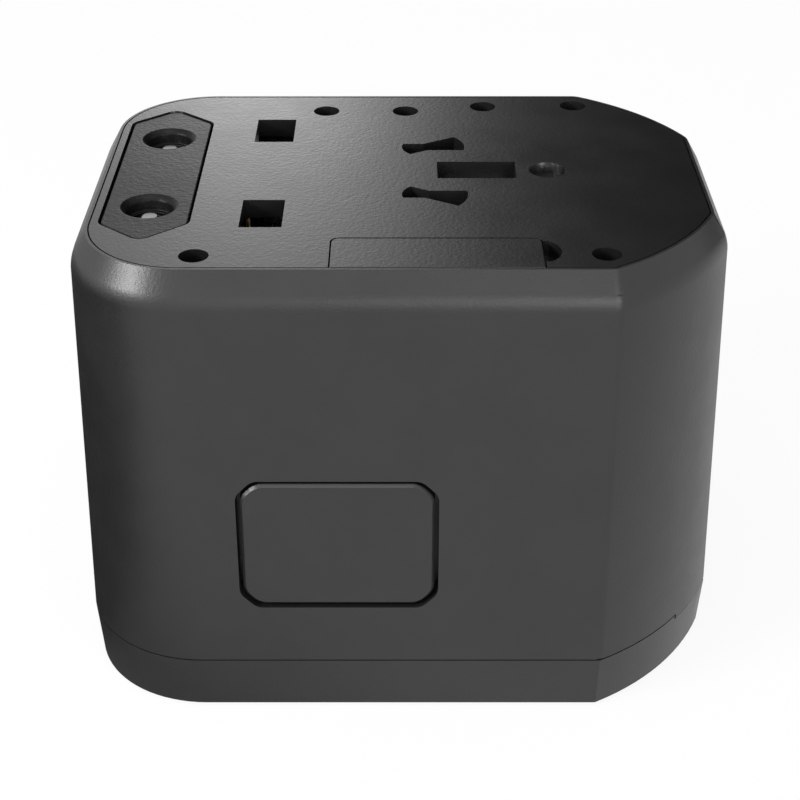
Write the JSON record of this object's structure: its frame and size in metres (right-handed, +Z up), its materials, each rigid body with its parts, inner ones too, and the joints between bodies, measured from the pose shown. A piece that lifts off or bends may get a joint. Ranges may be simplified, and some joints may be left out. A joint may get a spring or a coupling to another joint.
{
  "type": "universal travel adapter",
  "caption": "Cube-shaped universal travel adapter with sliding UK, US and EU pins on one face, a universal socket on the other, a release button and USB ports.",
  "frame": {"origin": "centre of the socket face, on the surface that the adapter stands on", "axes": "+X along the body to the USB end, +Y to the slider wall at the back, +Z up out of the pin face"},
  "size_m": [0.0694, 0.0516, 0.052],
  "materials": {
    "case_black": "fine-textured black polycarbonate",
    "face_black": "leather-grained black polycarbonate",
    "eu_block_black": "finer, darker grained black polycarbonate",
    "button_black": "fine-textured black polycarbonate",
    "slider_black": "satin black polycarbonate",
    "screw_steel": "blackened steel",
    "inner_plastic": "plain black nylon",
    "contact_brass": "spring brass",
    "plated_pin": "nickel-plated brass",
    "fuse_ceramic": "ceramic tube with plated caps",
    "spring_steel": "spring steel",
    "shutter_grey": "plain dark grey nylon",
    "board_green": "solder-masked circuit board",
    "usb_steel": "tin-plated steel",
    "tongue_white": "white nylon",
    "tongue_black": "black nylon",
    "transformer_yellow": "tape-wrapped ferrite",
    "capacitor_sleeve": "shrink-sleeved aluminium"
  },
  "bodies": {
    "housing": {"casing": "case_black", "pin_face_plate": "face_black", "base_cap": "case_black", "case_screws": "screw_steel", "contact_deck": "inner_plastic", "live_socket_clip": "contact_brass", "neutral_socket_clip": "contact_brass", "earth_socket_clip": "contact_brass", "live_bus_strip": "contact_brass", "neutral_bus_strip": "contact_brass", "earth_bus_strip": "contact_brass", "shutter_spring": "spring_steel", "fuse_clips": "contact_brass", "latch_spring": "spring_steel", "usb_board": "board_green", "usb_a_shell": "usb_steel", "usb_a_tongue": "tongue_white", "usb_c_shell": "usb_steel", "usb_c_tongue": "tongue_black", "transformer": "transformer_yellow", "capacitors": "capacitor_sleeve"},
    "uk_carriage": {"uk_carriage": "inner_plastic", "uk_live_pin": "plated_pin", "uk_neutral_pin": "plated_pin", "uk_earth_pin": "plated_pin", "uk_slider_knob": "slider_black"},
    "us_carriage": {"us_carriage": "inner_plastic", "us_slider_knob": "slider_black"},
    "us_front_blade": {"us_front_blade": "plated_pin"},
    "us_back_blade": {"us_back_blade": "plated_pin"},
    "eu_block": {"eu_block": "eu_block_black"},
    "eu_pins": {"eu_pin_carriage": "inner_plastic", "eu_front_pin": "plated_pin", "eu_back_pin": "plated_pin", "eu_slider_knob": "slider_black"},
    "fuse_drawer": {"fuse_drawer": "face_black", "working_fuse": "fuse_ceramic", "spare_fuse": "fuse_ceramic"},
    "release_button": {"release_button": "button_black", "latch_plate": "spring_steel"},
    "socket_shutter": {"socket_shutter": "shutter_grey"}
  },
  "joints": [
    {"name": "uk_slide", "type": "slide", "parent": "housing", "child": "uk_carriage", "axis": [0, 0, 1], "range_m": [0, 0.0248]},
    {"name": "us_slide", "type": "slide", "parent": "housing", "child": "us_carriage", "axis": [0, 0, 1], "range_m": [0, 0.0214]},
    {"name": "us_front_blade_turn", "type": "hinge", "parent": "us_carriage", "child": "us_front_blade", "pos_m": [0.0026, -0.00535, 0.0263], "axis": [0, 0, -1], "range_deg": [0, 30]},
    {"name": "us_back_blade_turn", "type": "hinge", "parent": "us_carriage", "child": "us_back_blade", "pos_m": [0.0026, 0.00735, 0.0263], "axis": [0, 0, 1], "range_deg": [0, 30]},
    {"name": "eu_block_slide", "type": "slide", "parent": "housing", "child": "eu_block", "axis": [0, 0, 1], "range_m": [0, 0.012]},
    {"name": "eu_pins_slide", "type": "slide", "parent": "eu_block", "child": "eu_pins", "axis": [0, 0, 1], "range_m": [0, 0.02]},
    {"name": "fuse_drawer_slide", "type": "slide", "parent": "housing", "child": "fuse_drawer", "axis": [0, 0, 1], "range_m": [0, 0.0155]},
    {"name": "release_button_press", "type": "slide", "parent": "housing", "child": "release_button", "axis": [0, 1, 0], "range_m": [0, 0.0018], "stiffness_N_per_m": 600, "springref_m": -0.001, "deforming": ["latch_spring"]},
    {"name": "shutter_slide", "type": "slide", "parent": "housing", "child": "socket_shutter", "axis": [1, 0, 0], "range_m": [0, 0.0076], "stiffness_N_per_m": 60, "springref_m": -0.002, "deforming": ["shutter_spring"]}
  ]
}
